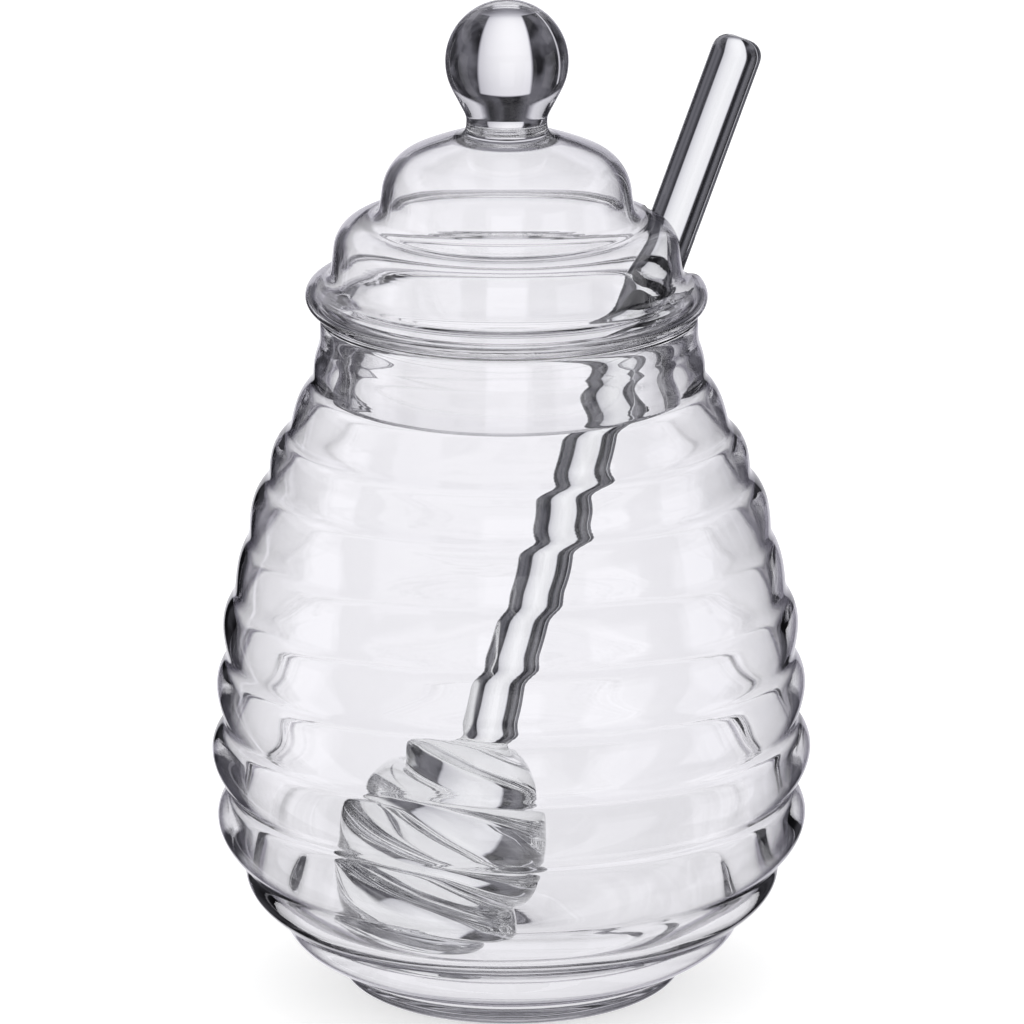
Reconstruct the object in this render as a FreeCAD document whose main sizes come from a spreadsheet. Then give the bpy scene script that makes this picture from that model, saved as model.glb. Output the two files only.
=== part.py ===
"""Glass honey pot: a ridged jar, a stepped lid with a ball knob, and a ringed dipper.

Millimetres, +Z up. The origin is on the jar's axis, in the plane it stands on.
The lid is modelled from its own seat plane, and the dipper along its own axis
from its lower end. Their placements seat them on and in the jar.
"""
import FreeCAD, Part
import math
import os

import Sketcher

SIZES = {
    # jar
    "jar_height": 109.0,
    "neck_radius": 29.3,
    "neck_drop": 4.4,
    "belly_radius": 44.6,
    "foot_radius": 27.4,
    "foot_flare": 4.6,
    "foot_bulge": 1.2,
    "foot_bevel": 1.6,
    "foot_ring_width": 4.3,
    "foot_recess": 1.0,
    "recess_bulge": 0.25,
    "wall": 1.9,
    "inner_ridge_share": 0.8,
    "heel_inset": 2.1,
    "heel_rise": 1.1,
    "bottom_bulge": 1.4,
    "floor_thickness": 3.9,
    "floor_inset": 5.9,
    "rim_rounding": 0.7,
    # lid, from the skirt and the flange on the jar's rim up to the knob
    "lid_wall": 1.8,
    "skirt_clearance": 1.2,
    "skirt_depth": 12.8,
    "skirt_rounding": 0.6,
    "flange_overhang": 2.1,
    "flange_thickness": 4.6,
    "lower_fillet": 1.7,
    "lower_side": 2.6,
    "lower_taper": 0.4,
    "lower_shoulder": 5.0,
    "upper_fillet": 2.3,
    "upper_side": 1.6,
    "upper_taper": 0.1,
    "dome_reach": 5.0,
    "dome_rise": 7.6,
    "dome_bulge": 1.13,
    "crown_rise": 2.9,
    "crown_bulge": 0.12,
    "crown_gap": 1.4,
    "knob_neck_radius": 6.2,
    "knob_neck_height": 3.5,
    "knob_neck_fillet": 1.2,
    "knob_neck_hollow": 0.4,
    "knob_taper": 1.37,
    "knob_radius": 9.6,
    # dipper
    "dipper_length": 154.0,
    "rod_radius": 4.0,
    "rod_end_rounding": 2.6,
    "head_end_radius": 9.0,
    "head_length": 37.2,
    # seating
    "lean_direction": 29.0,
    "lean_offset": 4.3,
    "dipper_foot_inset": 0.2,
    "seat_clearance": 0.08,
    "head_clearance": 0.3,
    "notch_clearance": 1.4,
    "notch_margin": 1.2,
}

# Grooves between the jar's ridges, from the top: the height as a share of the jar's
# height, the radius as a share of the way out from the neck (or, below the belly,
# from the foot) to the belly, and how far the ridge below the groove bulges.
GROOVES_ABOVE = [
    (0.905, 0.065, 1.0),
    (0.828, 0.325, 1.4),
    (0.758, 0.535, 1.4),
    (0.672, 0.750, 1.2),
    (0.586, 0.910, 1.5),
    (0.495, 0.980, 1.9),
    (0.396, 1.000, 3.0),
]
GROOVES_BELOW = [
    (0.297, 0.950, 3.1),
    (0.192, 0.855, 2.0),
    (0.113, 0.525, 1.7),
]
FOOT_GROOVE_SHARE = 0.042
NECK_RIDGE_BULGE = 0.5

# Grooves of the dipper's head, from its lower end: the height, the radius there and
# how far the ring below the groove bulges.
HEAD_GROOVES = [
    (5.6, 10.8, 2.3),
    (13.2, 13.2, 3.1),
    (20.8, 13.0, 3.5),
    (28.4, 9.8, 3.4),
    (34.4, 5.9, 2.9),
]
HEAD_NECK_HOLLOW = 0.5

# How far a point on the inside of the lid lies inwards and down from its partner on
# the outside, in walls: where the dome's crown starts and where it meets the knob.
CROWN_START_LEAN = (0.465, 0.885)
CROWN_END_LEAN = (0.34, 0.94)

# Sagitta of a quarter turn, in radii.
QUARTER = 1.0 - math.sqrt(0.5)

# How far the dipper's foot moves at a time while a clear place is looked for.
SEARCH_STEP = 0.25


class Measure:
    """A number worked out from the sheet, kept with the formula that gives it."""

    def __init__(self, value, formula):
        self.value = value
        self.formula = formula

    def _join(self, other, value, sign):
        return Measure(value, "(%s %s %s)" % (self.formula, sign, other.formula))

    def __add__(self, other):
        other = measure(other)
        return self._join(other, self.value + other.value, "+")

    def __sub__(self, other):
        other = measure(other)
        return self._join(other, self.value - other.value, "-")

    def __mul__(self, other):
        other = measure(other)
        return self._join(other, self.value * other.value, "*")

    def __truediv__(self, other):
        other = measure(other)
        return self._join(other, self.value / other.value, "/")

    def root(self):
        return Measure(math.sqrt(self.value), "sqrt(%s)" % self.formula)


def measure(number):
    """A plain number as a Measure; a Measure is returned as it is."""
    if isinstance(number, Measure):
        return number
    return Measure(float(number), repr(float(number)))


def make_sheet(doc):
    """Write every driving size into the sheet, one row each, under its own alias."""
    sheet = doc.addObject("Spreadsheet::Sheet", "Sizes")
    rows = dict(SIZES)
    for kind, grooves in (("above", GROOVES_ABOVE), ("below", GROOVES_BELOW)):
        for number, (height, radius, bulge) in enumerate(grooves, start=1):
            rows["groove_%s_height_%d" % (kind, number)] = height
            rows["groove_%s_radius_%d" % (kind, number)] = radius
            rows["ridge_%s_bulge_%d" % (kind, number)] = bulge
    rows["foot_groove_share"] = FOOT_GROOVE_SHARE
    rows["neck_ridge_bulge"] = NECK_RIDGE_BULGE
    for number, (height, radius, bulge) in enumerate(HEAD_GROOVES, start=1):
        rows["head_groove_height_%d" % number] = height
        rows["head_groove_radius_%d" % number] = radius
        rows["head_ring_bulge_%d" % number] = bulge
    rows["head_neck_hollow"] = HEAD_NECK_HOLLOW
    for row, (alias, value) in enumerate(rows.items(), start=1):
        sheet.set("A%d" % row, alias)
        sheet.set("B%d" % row, str(value))
        sheet.setAlias("B%d" % row, alias)
    doc.recompute()
    return {alias: Measure(float(value), "Sizes." + alias) for alias, value in rows.items()}


def origin_plane(body, role):
    """The body's own origin plane with this role."""
    for feature in body.Origin.OriginFeatures:
        if feature.Role == role:
            return feature
    raise RuntimeError("no plane " + role)


def new_sketch(body, name, role, offset=None):
    """A sketch on one of the body's own origin planes."""
    sketch = body.newObject("Sketcher::SketchObject", name)
    sketch.AttachmentSupport = (origin_plane(body, role), [""])
    sketch.MapMode = "FlatFace"
    if offset is not None:
        sketch.AttachmentOffset = offset
    return sketch


def bind(sketch, constraint, name, size):
    """Add a dimension and tie it to the sheet."""
    index = sketch.addConstraint(constraint)
    sketch.renameConstraint(index, name)
    sketch.setExpression("Constraints." + name, size.formula)


def arc_radius(start, end, bulge):
    """Radius of the arc that stands bulge above the chord from start to end."""
    run = end[0] - start[0]
    rise = end[1] - start[1]
    return (run * run + rise * rise) / (bulge * 8.0) + bulge / 2.0


def arc_between(start, end, bulge):
    """The arc from start to end that bulges to the right of the way travelled."""
    first = FreeCAD.Vector(start[0].value, start[1].value, 0)
    last = FreeCAD.Vector(end[0].value, end[1].value, 0)
    along = last - first
    right = FreeCAD.Vector(along.y, -along.x, 0).normalize()
    middle = (first + last) * 0.5 + right * bulge.value
    centre = Part.Circle(first, middle, last).Center
    radius = (first - centre).Length
    start_angle = math.atan2(first.y - centre.y, first.x - centre.x)
    end_angle = math.atan2(last.y - centre.y, last.x - centre.x)
    return Part.Circle(centre, FreeCAD.Vector(0, 0, 1), radius), start_angle, end_angle


def draw_outline(sketch, corners, bulges):
    """Draw a closed outline of half a section and tie every corner to the sheet.

    corners is a list of (radius, height). bulges has one entry per side, from each
    corner to the next: None for a straight side, ("out", size) for an arc that bulges
    to the right of the way travelled, or ("in", size) for one that bulges to the left.
    """
    ends = []
    for number, (start, bulge) in enumerate(zip(corners, bulges)):
        end = corners[(number + 1) % len(corners)]
        if bulge is None:
            line = Part.LineSegment(
                FreeCAD.Vector(start[0].value, start[1].value, 0),
                FreeCAD.Vector(end[0].value, end[1].value, 0),
            )
            ends.append((sketch.addGeometry(line, False), 1, 2))
            continue
        side, size = bulge
        if side == "out":
            circle, first_angle, last_angle = arc_between(start, end, size)
            start_point, end_point = 1, 2
        else:
            circle, first_angle, last_angle = arc_between(end, start, size)
            start_point, end_point = 2, 1
        arc = Part.ArcOfCircle(circle, first_angle, last_angle)
        index = sketch.addGeometry(arc, False)
        bind(
            sketch,
            Sketcher.Constraint("Radius", index, arc.Radius),
            "side_radius_%d" % number,
            arc_radius(start, end, size),
        )
        ends.append((index, start_point, end_point))
    for number, (index, start_point, end_point) in enumerate(ends):
        next_index, next_start, next_end = ends[(number + 1) % len(ends)]
        sketch.addConstraint(
            Sketcher.Constraint("Coincident", index, end_point, next_index, next_start)
        )
        pin_corner(sketch, index, start_point, corners[number], number)


def pin_corner(sketch, index, point, corner, number):
    """Fix one corner of an outline at its radius and height."""
    radius, height = corner
    if abs(radius.value) < 1e-9:
        sketch.addConstraint(Sketcher.Constraint("PointOnObject", index, point, -2))
    else:
        across = Sketcher.Constraint("DistanceX", -1, 1, index, point, radius.value)
        bind(sketch, across, "radius_%d" % number, radius)
    if abs(height.value) < 1e-9:
        sketch.addConstraint(Sketcher.Constraint("PointOnObject", index, point, -1))
    else:
        up = Sketcher.Constraint("DistanceY", -1, 1, index, point, height.value)
        bind(sketch, up, "height_%d" % number, height)


def revolve(doc, body, name, corners, bulges):
    """A full turn of an outline about the body's own Z axis."""
    sketch = new_sketch(body, name + "Outline", "XZ_Plane")
    draw_outline(sketch, corners, bulges)
    doc.recompute()
    turned = body.newObject("PartDesign::Revolution", name)
    turned.Profile = sketch
    turned.ReferenceAxis = (sketch, ["V_Axis"])
    turned.Angle = 360.0
    doc.recompute()
    return turned


def floor_radius(sizes):
    return sizes["foot_radius"] - sizes["floor_inset"]


def jar_grooves(sizes):
    """The grooves outside the jar from the foot up, and how far the ridge below each
    bulges."""
    height = sizes["jar_height"]
    belly = sizes["belly_radius"]
    neck = sizes["neck_radius"]
    foot = sizes["foot_radius"]
    grooves, bulges = [], []
    for number in range(len(GROOVES_BELOW), 0, -1):
        share = sizes["groove_below_radius_%d" % number]
        radius = foot + (belly - foot) * share
        grooves.append((radius, height * sizes["groove_below_height_%d" % number]))
        bulges.append(sizes["ridge_below_bulge_%d" % number])
    for number in range(len(GROOVES_ABOVE), 0, -1):
        share = sizes["groove_above_radius_%d" % number]
        radius = neck + (belly - neck) * share
        grooves.append((radius, height * sizes["groove_above_height_%d" % number]))
        bulges.append(sizes["ridge_above_bulge_%d" % number])
    return grooves, bulges


def inner_corners(sizes):
    """Corners of the jar's inside, from the neck's foot down to the floor's edge."""
    wall = sizes["wall"]
    grooves, _ = jar_grooves(sizes)
    corners = [(sizes["neck_radius"] - wall, sizes["jar_height"] - sizes["neck_drop"])]
    corners += [(radius - wall, height) for radius, height in reversed(grooves[1:])]
    radius, height = grooves[0]
    corners.append((radius - sizes["heel_inset"], height + sizes["heel_rise"]))
    corners.append((floor_radius(sizes), sizes["floor_thickness"]))
    return corners


def make_jar(doc, sizes):
    """The ridged jar: round ridges outside, softer ones inside, and a thick floor."""
    zero = measure(0.0)
    height = sizes["jar_height"]
    neck = sizes["neck_radius"]
    ring = sizes["foot_radius"] - sizes["foot_flare"]
    bore = neck - sizes["wall"]
    rounding = sizes["rim_rounding"]
    grooves, bulges = jar_grooves(sizes)

    corners = [
        (zero, sizes["foot_recess"]),
        (ring - sizes["foot_ring_width"], sizes["foot_recess"]),
        (ring - sizes["foot_bevel"], zero),
        (ring, zero),
        (sizes["foot_radius"], height * sizes["foot_groove_share"]),
    ]
    sides = [None, ("in", sizes["recess_bulge"]), None, ("out", sizes["foot_bulge"])]
    corners += grooves
    sides += [("out", bulge) for bulge in bulges]
    corners += [
        (neck, height - sizes["neck_drop"]),
        (neck, height - rounding),
        (neck - rounding, height),
        (bore + rounding, height),
        (bore, height - rounding),
    ]
    sides += [("out", sizes["neck_ridge_bulge"]), None, ("out", rounding * QUARTER)]
    sides += [None, ("out", rounding * QUARTER), None, None]
    corners += inner_corners(sizes)
    sides += [("in", bulge * sizes["inner_ridge_share"]) for bulge in reversed(bulges[1:])]
    corners.append((zero, sizes["floor_thickness"]))
    sides += [("in", sizes["bottom_bulge"]), None, None]
    body = doc.addObject("PartDesign::Body", "JarBody")
    body.Label = "jar"
    revolve(doc, body, "JarGlass", corners, sides)
    return body


def flange_radius(sizes):
    return sizes["neck_radius"] + sizes["flange_overhang"]


def make_lid(doc, sizes, dipper_in_lid):
    """The hollow stepped lid: skirt, flange, tier and dome in one wall, then the knob."""
    zero = measure(0.0)
    wall = sizes["lid_wall"]
    skirt = sizes["neck_radius"] - sizes["wall"] - sizes["skirt_clearance"]
    depth = zero - sizes["skirt_depth"]
    edge = sizes["skirt_rounding"]

    flange = flange_radius(sizes)
    flange_top = sizes["flange_thickness"]
    bead = flange_top / 2.0
    bead_radius = flange - bead
    lower_fillet = sizes["lower_fillet"]
    lower_foot = bead_radius - lower_fillet
    lower_start = flange_top + lower_fillet
    lower = lower_foot - sizes["lower_taper"]
    shoulder = sizes["lower_shoulder"]
    lower_end = lower_start + sizes["lower_side"]
    lower_top = lower_end + shoulder
    upper_fillet = sizes["upper_fillet"]
    upper_foot = lower - shoulder - upper_fillet
    upper_start = lower_top + upper_fillet
    upper = upper_foot - sizes["upper_taper"]
    spring = upper_start + sizes["upper_side"]
    crown = upper - sizes["dome_reach"]
    crown_start = spring + sizes["dome_rise"]
    crown_top = crown_start + sizes["crown_rise"]
    knob_neck = sizes["knob_neck_radius"]
    crown_end = knob_neck + sizes["crown_gap"]
    neck_top = crown_top + sizes["knob_neck_height"]
    knob = sizes["knob_radius"]
    knob_centre = neck_top + ball_drop(sizes)
    taper_radius, taper_height = taper_end(sizes)
    dome_bulge = sizes["dome_bulge"]
    dome_arc = arc_radius((upper, spring), (crown, crown_start), dome_bulge)
    crown_bulge = sizes["crown_bulge"]

    corners = [
        (skirt - wall + edge, depth),
        (skirt - edge, depth),
        (skirt, depth + edge),
        (skirt, zero),
        (bead_radius, zero),
        (flange, bead),
        (bead_radius, flange_top),
        (lower_foot, lower_start),
        (lower, lower_end),
        (lower - shoulder, lower_top),
        (upper_foot, upper_start),
        (upper, spring),
        (crown, crown_start),
        (crown_end, crown_top),
        (knob_neck, crown_top + sizes["knob_neck_fillet"]),
        (knob_neck, neck_top),
        (taper_radius, knob_centre + taper_height),
        (zero, knob_centre + knob),
        (zero, crown_top - wall),
        (crown_end - wall * CROWN_END_LEAN[0], crown_top - wall * CROWN_END_LEAN[1]),
        (crown - wall * CROWN_START_LEAN[0], crown_start - wall * CROWN_START_LEAN[1]),
        (upper - wall, spring),
        (upper_foot - wall, upper_start),
        (lower - shoulder, lower_top - wall),
        (lower - wall, lower_end),
        (lower_foot - wall, lower_start),
        (bead_radius, flange_top - wall),
        (flange - wall, bead),
        (bead_radius, wall),
        (skirt, wall),
        (skirt - wall, zero),
        (skirt - wall, depth + edge),
    ]
    sides = [
        None,
        ("out", edge * QUARTER),
        None,
        None,
        ("out", bead * QUARTER),
        ("out", bead * QUARTER),
        ("in", lower_fillet * QUARTER),
        None,
        ("out", shoulder * QUARTER),
        ("in", upper_fillet * QUARTER),
        None,
        ("out", dome_bulge),
        ("out", crown_bulge),
        ("in", sizes["knob_neck_hollow"]),
        None,
        None,
        ("out", knob_bulge(knob, taper_radius, taper_height)),
        None,
        None,
        ("in", crown_bulge),
        ("in", dome_bulge - dome_bulge * wall / dome_arc),
        None,
        ("out", (upper_fillet + wall) * QUARTER),
        ("in", (shoulder - wall) * QUARTER),
        None,
        ("out", (lower_fillet + wall) * QUARTER),
        ("in", (bead - wall) * QUARTER),
        ("in", (bead - wall) * QUARTER),
        None,
        ("out", wall * QUARTER),
        None,
        ("out", edge * QUARTER),
    ]
    body = doc.addObject("PartDesign::Body", "LidBody")
    body.Label = "lid"
    shell = revolve(doc, body, "LidGlass", corners, sides)
    cut_notch(doc, body, sizes, dipper_in_lid, shell)
    return body


def ball_drop(sizes):
    """How far the top of the knob's neck lies below the middle of its ball."""
    knob = sizes["knob_radius"]
    neck = sizes["knob_neck_radius"]
    return (knob * knob - neck * neck).root() + sizes["knob_taper"]


def taper_end(sizes):
    """Where the straight taper from the neck touches the ball, from the ball's middle."""
    knob = sizes["knob_radius"]
    neck = sizes["knob_neck_radius"]
    drop = ball_drop(sizes)
    square = neck * neck + drop * drop
    length = (square - knob * knob).root()
    radius = knob * (knob * neck + length * drop) / square
    height = knob * (length * neck - knob * drop) / square
    return radius, height


def knob_bulge(knob, radius, height):
    """Bulge of the ball's outline over the chord from the taper to its top."""
    half_chord_square = (radius * radius + (knob - height) * (knob - height)) / 4.0
    return knob - (knob * knob - half_chord_square).root()


def cut_notch(doc, body, sizes, dipper_in_lid, shell):
    """A bore along the dipper's rod and a slot under it, open at the skirt's lower edge."""
    before = shell.Shape.Volume
    clear = sizes["rod_radius"] + sizes["notch_clearance"]

    bore_sketch = new_sketch(body, "NotchBoreOutline", "XY_Plane", dipper_in_lid)
    circle = Part.Circle(FreeCAD.Vector(0, 0, 0), FreeCAD.Vector(0, 0, 1), clear.value)
    index = bore_sketch.addGeometry(circle, False)
    bore_sketch.addConstraint(Sketcher.Constraint("Coincident", index, 3, -1, 1))
    bind(bore_sketch, Sketcher.Constraint("Radius", index, clear.value), "bore", clear)
    bore = body.newObject("PartDesign::Pocket", "NotchBore")
    bore.Profile = bore_sketch
    bore.SideType = "Symmetric"
    bore.setExpression("Length", (sizes["dipper_length"] * 2.0).formula)
    doc.recompute()

    turn = FreeCAD.Rotation(FreeCAD.Vector(0, 0, 1), sizes["lean_direction"].value)
    margin = sizes["notch_margin"]
    below = sizes["skirt_depth"] + margin
    slot_foot = FreeCAD.Placement(FreeCAD.Vector(0, 0, -below.value), turn)
    slot_sketch = new_sketch(body, "NotchSlotOutline", "XY_Plane", slot_foot)
    draw_slot(slot_sketch, sizes, clear)
    slot = body.newObject("PartDesign::Pocket", "NotchSlot")
    slot.Profile = slot_sketch
    slot.Reversed = True
    slot.setExpression("Length", (below + sizes["flange_thickness"] + margin).formula)
    doc.recompute()
    if not slot.Shape.Volume < bore.Shape.Volume < before:
        raise RuntimeError("the notch did not cut the lid")


def draw_slot(sketch, sizes, clear):
    """The slot's plan: a strip as wide as the bore, from inside the skirt outwards."""
    inner = sizes["neck_radius"] / 2.0
    outer = flange_radius(sizes) + clear
    low = (sizes["lean_offset"] + clear) * -1.0
    high = clear - sizes["lean_offset"]
    corners = [(inner, low), (outer, low), (outer, high), (inner, high)]
    draw_outline(sketch, corners, [None] * 4)


def head_rings(sizes):
    """The corners between the dipper's rings from its lower end up, and the bulge of
    each ring."""
    corners = [(sizes["head_end_radius"], measure(0.0))]
    bulges = []
    for number in range(1, len(HEAD_GROOVES) + 1):
        radius = sizes["head_groove_radius_%d" % number]
        corners.append((radius, sizes["head_groove_height_%d" % number]))
        bulges.append(sizes["head_ring_bulge_%d" % number])
    return corners, bulges


def make_dipper(doc, sizes):
    """The solid glass dipper: a round rod with a head of stacked round rings."""
    zero = measure(0.0)
    rod = sizes["rod_radius"]
    top = sizes["dipper_length"]
    rounding = sizes["rod_end_rounding"]
    corners, bulges = head_rings(sizes)
    corners.insert(0, (zero, zero))
    sides = [None] + [("out", bulge) for bulge in bulges]
    corners += [
        (rod, sizes["head_length"]),
        (rod, top - rounding),
        (rod - rounding, top),
        (zero, top),
    ]
    sides += [
        ("in", sizes["head_neck_hollow"]),
        None,
        ("out", rounding * QUARTER),
        None,
        None,
    ]
    body = doc.addObject("PartDesign::Body", "DipperBody")
    body.Label = "dipper"
    revolve(doc, body, "DipperGlass", corners, sides)
    return body


def rim_distance(sizes, foot, along):
    """How far inside the jar's rim the dipper's axis passes; below zero if outside it.

    It is measured to the ring that the rim's inner edge is rounded about.
    """
    rounding = sizes["rim_rounding"].value
    radius = sizes["neck_radius"].value - sizes["wall"].value + rounding
    height = sizes["jar_height"].value - rounding
    crossing = foot + along * ((height - foot.z) / along.z)
    if math.hypot(crossing.x, crossing.y) > radius:
        return -1.0
    nearest = radius
    for step in range(720):
        angle = math.radians(step * 0.5)
        point = FreeCAD.Vector(radius * math.cos(angle), radius * math.sin(angle), height)
        nearest = min(nearest, (point - foot).cross(along).Length)
    return nearest


def lowest_reach(sizes, tilt):
    """How far the leaning head's lowest ring reaches below the dipper's lower end."""
    corners, bulges = head_rings(sizes)
    ring = arc_between(corners[0], corners[1], bulges[0])[0]
    return ring.Center.x * math.sin(tilt) - ring.Center.y * math.cos(tilt) + ring.Radius


def head_points(sizes):
    """Points on the outline of the dipper's rings, as (radius, height) numbers."""
    points = []
    corners, bulges = head_rings(sizes)
    for low, high, bulge in zip(corners, corners[1:], bulges):
        ring = arc_between(low, high, bulge)[0]
        for degrees in range(-80, 81, 20):
            reach = math.cos(math.radians(degrees)) * ring.Radius
            rise = math.sin(math.radians(degrees)) * ring.Radius
            points.append((ring.Center.x + reach, ring.Center.y + rise))
    return points


def wall_room(sizes, placement):
    """The least room between the dipper's rings and the jar's inside, seen level."""
    inside = [(radius.value, height.value) for radius, height in inner_corners(sizes)]
    least = sizes["jar_height"].value
    for radius, height in head_points(sizes):
        for degrees in range(0, 360, 10):
            angle = math.radians(degrees)
            ring_point = FreeCAD.Vector(radius * math.cos(angle), radius * math.sin(angle), height)
            point = placement.multVec(ring_point)
            for (top_radius, top), (low_radius, low) in zip(inside, inside[1:]):
                if low <= point.z <= top:
                    share = (point.z - low) / (top - low)
                    wall_radius = low_radius + (top_radius - low_radius) * share
                    least = min(least, wall_radius - math.hypot(point.x, point.y))
    return least


def seat_dipper(sizes):
    """Lean the dipper so that its head stands on the floor and its rod on the rim.

    The head stands as far out as the floor and the jar's wall leave room for.
    """
    reach = floor_radius(sizes).value - sizes["dipper_foot_inset"].value
    placement = lean_dipper(sizes, reach)
    while reach > 0 and wall_room(sizes, placement) < sizes["head_clearance"].value:
        reach -= SEARCH_STEP
        placement = lean_dipper(sizes, reach)
    return placement


def lean_dipper(sizes, reach):
    """The dipper's placement with its lower end this far out on the floor."""
    direction = math.radians(sizes["lean_direction"].value)
    lean = FreeCAD.Vector(math.cos(direction), math.sin(direction), 0)
    side = FreeCAD.Vector(-math.sin(direction), math.cos(direction), 0)
    foot_plan = lean * -reach + side * -sizes["lean_offset"].value
    clearance = sizes["seat_clearance"].value
    wanted = sizes["rod_radius"].value + sizes["rim_rounding"].value + clearance
    upright, flat = 0.0, math.radians(60.0)
    for _ in range(60):
        tilt = (upright + flat) / 2.0
        lift = sizes["floor_thickness"].value + clearance + lowest_reach(sizes, tilt)
        foot = foot_plan + FreeCAD.Vector(0, 0, lift)
        along = lean * math.sin(tilt) + FreeCAD.Vector(0, 0, math.cos(tilt))
        if rim_distance(sizes, foot, along) > wanted:
            upright = tilt
        else:
            flat = tilt
    tilt_turn = FreeCAD.Rotation(FreeCAD.Vector(0, 1, 0), math.degrees(tilt))
    lean_turn = FreeCAD.Rotation(FreeCAD.Vector(0, 0, 1), sizes["lean_direction"].value)
    return FreeCAD.Placement(foot, lean_turn * tilt_turn)


def check_document(doc, bodies):
    """Stop if any object failed or any piece is not one valid solid."""
    for obj in doc.Objects:
        if "Invalid" in obj.State or "Error" in obj.State:
            raise RuntimeError("failed: %s %s" % (obj.Name, obj.State))
    for body in bodies:
        shape = body.Shape
        if shape.isNull() or not shape.isValid() or len(shape.Solids) != 1:
            raise RuntimeError("bad shape: " + body.Label)
        box = shape.optimalBoundingBox(True, False)
        print(
            "%-7s volume %9.1f mm3  x %.1f..%.1f  y %.1f..%.1f  z %.2f..%.2f"
            % (body.Label, shape.Volume, box.XMin, box.XMax, box.YMin, box.YMax, box.ZMin, box.ZMax)
        )


def main():
    doc = FreeCAD.newDocument("HoneyPot")
    sizes = make_sheet(doc)
    dipper_placement = seat_dipper(sizes)
    lid_placement = FreeCAD.Placement(
        FreeCAD.Vector(0, 0, sizes["jar_height"].value), FreeCAD.Rotation()
    )
    jar = make_jar(doc, sizes)
    lid = make_lid(doc, sizes, lid_placement.inverse() * dipper_placement)
    lid.Placement = lid_placement
    dipper = make_dipper(doc, sizes)
    dipper.Placement = dipper_placement
    doc.recompute()
    bodies = [jar, lid, dipper]
    check_document(doc, bodies)
    along = dipper_placement.Rotation.multVec(FreeCAD.Vector(0, 0, 1))
    print(
        "dipper tilt %.2f degrees, %.2f mm from the wall"
        % (math.degrees(along.getAngle(FreeCAD.Vector(0, 0, 1))), wall_room(sizes, dipper_placement))
    )
    os.makedirs("parts", exist_ok=True)
    for body in bodies:
        body.Shape.exportStep("parts/%s.step" % body.Label)


main()
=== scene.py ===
"""Clear glass honey pot with a stepped lid and a ringed dipper, on a pale floor.

Metres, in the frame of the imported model: +Z up, origin under the jar on its axis.
The glass is rebuilt here as smooth turned surfaces, because refraction shows every facet.
"""

import math
from functools import partial

import bpy
from mathutils import Matrix, Vector, noise


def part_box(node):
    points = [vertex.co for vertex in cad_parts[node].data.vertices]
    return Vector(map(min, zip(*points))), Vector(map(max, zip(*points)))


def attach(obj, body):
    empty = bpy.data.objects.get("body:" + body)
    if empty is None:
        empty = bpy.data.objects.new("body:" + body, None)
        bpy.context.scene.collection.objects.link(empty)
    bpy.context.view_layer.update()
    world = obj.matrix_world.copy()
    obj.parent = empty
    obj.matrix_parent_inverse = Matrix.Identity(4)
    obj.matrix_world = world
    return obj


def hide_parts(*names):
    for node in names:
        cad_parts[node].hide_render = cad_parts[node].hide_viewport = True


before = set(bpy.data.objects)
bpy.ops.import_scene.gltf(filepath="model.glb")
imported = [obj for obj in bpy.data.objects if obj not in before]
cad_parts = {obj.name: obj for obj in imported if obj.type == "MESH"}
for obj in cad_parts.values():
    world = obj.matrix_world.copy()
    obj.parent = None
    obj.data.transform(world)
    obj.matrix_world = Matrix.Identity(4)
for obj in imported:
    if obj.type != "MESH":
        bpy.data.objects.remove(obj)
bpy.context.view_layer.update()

MM = 0.001
TURNS = 216  # points round each turned surface
ARC_STEP = 0.45  # spacing of points along an arc, in millimetres
SOFT_STEP = 0.55  # spacing after an outline is softened
QUARTER = 1 - math.sqrt(0.5)  # bulge of a quarter circle, as a share of its radius
BOX = {name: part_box(name) for name in ("jar", "lid", "dipper")}
JAR_HEIGHT = BOX["jar"][1].z / MM

# jar, in millimetres
RECESS_RADIUS = 18.5
RECESS_HEIGHT = 1.0
RECESS_BULGE = -0.25
NECK_RADIUS = 29.5
NECK_HEIGHT = 104.6
BELLY_RADIUS = 44.63
FOOT_RADIUS = 27.4
FOOT_RING_RADIUS = 22.8
FOOT_RING_WIDTH = 1.6
FOOT_BULGE = 1.2
FOOT_GROOVE_HEIGHT = 0.042 * JAR_HEIGHT
SHOULDER_BULGE = 0.5
WALL = 1.9
FLOOR_RADIUS = 21.5
FLOOR_THICKNESS = 3.9
FLOOR_CORNER_IN, FLOOR_CORNER_UP = 2.1, 1.1
FLOOR_CORNER_BULGE = 1.4
RIM_ROUNDING = 0.7
INNER_RIDGE_SHARE = 0.95  # how far the inside follows the ridges outside
RIDGE_WALL = 1.3
RIDGE_LEAN = 0.1  # how far above its middle a ridge is fullest
LEAST_RIDGE = 0.7  # a smaller bulge is a plain arc
SEAT_GAP = 0.04
JAR_SOFTNESS = 1.8
LID_SOFTNESS = 0.8
DIPPER_SOFTNESS = 0.4
# slow unevenness of the hand-blown wall: the inside swells and thins, the outside dips
WAVE_LENGTH = 17.0
INNER_SWELL = 0.26
OUTER_DIP = 0.04
WAVE_MARGIN = 12.0  # none near the rim or the axis
WAVE_FADE = 10.0

# grooves between the ridges: share of the height, share of the way out, ridge below
GROOVES_ABOVE = [
    (0.905, 0.065, 1.0),
    (0.828, 0.325, 1.4),
    (0.758, 0.535, 1.4),
    (0.672, 0.750, 0.8),
    (0.586, 0.910, 1.5),
    (0.495, 0.980, 1.9),
    (0.396, 1.000, 2.95),
]
GROOVES_BELOW = [
    (0.297, 0.950, 3.45),
    (0.192, 0.840, 2.0),
    (0.113, 0.525, 1.7),
]

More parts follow.
